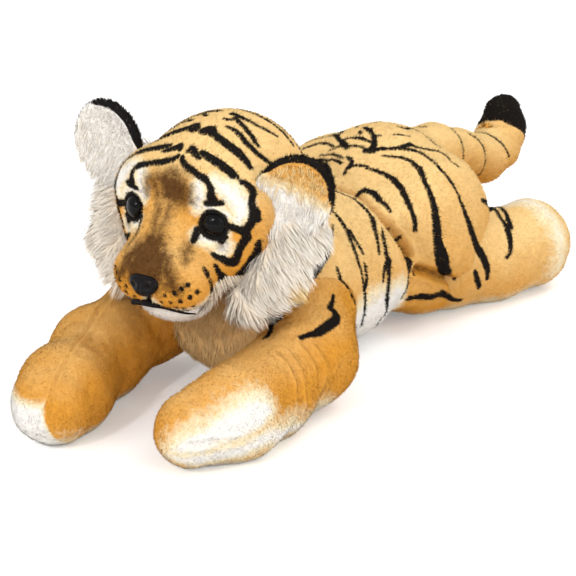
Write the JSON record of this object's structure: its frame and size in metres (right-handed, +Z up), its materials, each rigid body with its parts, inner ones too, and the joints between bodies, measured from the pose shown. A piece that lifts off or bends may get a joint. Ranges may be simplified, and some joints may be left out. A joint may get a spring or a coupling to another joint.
{
  "type": "stuffed toy tiger",
  "caption": "Stuffed plush toy tiger that lies on its belly with its legs stretched out, with a sewn head, ears, legs and tail that bend at their seams.",
  "frame": {"origin": "on the ground under the middle of the belly, at the flat where the belly rests", "axes": "+Z up, -Y the way the tiger looks, +Y towards the tail, +X its left side"},
  "size_m": [0.2884, 0.7199, 0.2463],
  "materials": {
    "tawny_plush": "short pile",
    "gold_plush": "short pile",
    "white_plush": "short pile",
    "white_pile": "long pile",
    "bib_pile": "long pile",
    "black_plush": "short pile",
    "stuffing": "polyester fibre",
    "black_gloss": "glossy",
    "black_satin": "satin",
    "washer": "moulded"
  },
  "bodies": {
    "torso": {"torso_cover": "tawny_plush", "torso_stuffing": "stuffing", "chest_bib": "bib_pile"},
    "head": {"head_cover": "tawny_plush", "head_stuffing": "stuffing", "lower_jaw": "white_plush", "left_cheek_ruff": "white_pile", "right_cheek_ruff": "white_pile", "left_eye": "black_gloss", "right_eye": "black_gloss", "left_eye_washer": "washer", "right_eye_washer": "washer", "nose": "black_satin", "nose_washer": "washer"},
    "left_ear": {"left_ear_back": "tawny_plush", "left_ear_lining": "white_pile"},
    "right_ear": {"right_ear_back": "tawny_plush", "right_ear_lining": "white_pile"},
    "front_left_leg": {"front_left_leg_cover": "gold_plush", "front_left_leg_stuffing": "stuffing"},
    "front_right_leg": {"front_right_leg_cover": "gold_plush", "front_right_leg_stuffing": "stuffing"},
    "hind_left_leg": {"hind_left_leg_cover": "gold_plush", "hind_left_leg_stuffing": "stuffing"},
    "hind_right_leg": {"hind_right_leg_cover": "gold_plush", "hind_right_leg_stuffing": "stuffing"},
    "tail": {"tail_cover": "tawny_plush", "tail_tip": "black_plush", "tail_stuffing": "stuffing"}
  },
  "joints": [
    {"name": "neck_seam", "type": "hinge", "parent": "torso", "child": "head", "pos_m": [0, -0.095, 0.088], "axis": [0, 0, 1], "range_deg": [-18, 18], "stiffness_Nm_per_rad": 0.6},
    {"name": "left_ear_seam", "type": "hinge", "parent": "head", "child": "left_ear", "pos_m": [0.07429, -0.17472, 0.17608], "axis": [0.7198, 0.262, -0.6428], "range_deg": [-20, 20], "stiffness_Nm_per_rad": 0.03},
    {"name": "right_ear_seam", "type": "hinge", "parent": "head", "child": "right_ear", "pos_m": [-0.08528, -0.16832, 0.18689], "axis": [0.9249, 0.0647, 0.3746], "range_deg": [-20, 20], "stiffness_Nm_per_rad": 0.03},
    {"name": "front_left_shoulder_seam", "type": "hinge", "parent": "torso", "child": "front_left_leg", "pos_m": [0.064, -0.105, 0.07893], "axis": [0, 0, 1], "range_deg": [-5, 25], "stiffness_Nm_per_rad": 0.3},
    {"name": "front_right_shoulder_seam", "type": "hinge", "parent": "torso", "child": "front_right_leg", "pos_m": [-0.064, -0.105, 0.07883], "axis": [0, 0, -1], "range_deg": [-5, 25], "stiffness_Nm_per_rad": 0.3},
    {"name": "hind_left_hip_seam", "type": "hinge", "parent": "torso", "child": "hind_left_leg", "pos_m": [0.066, 0.13716, 0.04242], "axis": [0, 0, -1], "range_deg": [-8, 25], "stiffness_Nm_per_rad": 0.3},
    {"name": "hind_right_hip_seam", "type": "hinge", "parent": "torso", "child": "hind_right_leg", "pos_m": [-0.066, 0.13716, 0.04242], "axis": [0, 0, 1], "range_deg": [-8, 25], "stiffness_Nm_per_rad": 0.3},
    {"name": "tail_seam", "type": "hinge", "parent": "torso", "child": "tail", "pos_m": [0, 0.15476, 0.12848], "axis": [0, 0, 1], "range_deg": [-20, 20], "stiffness_Nm_per_rad": 0.1}
  ]
}
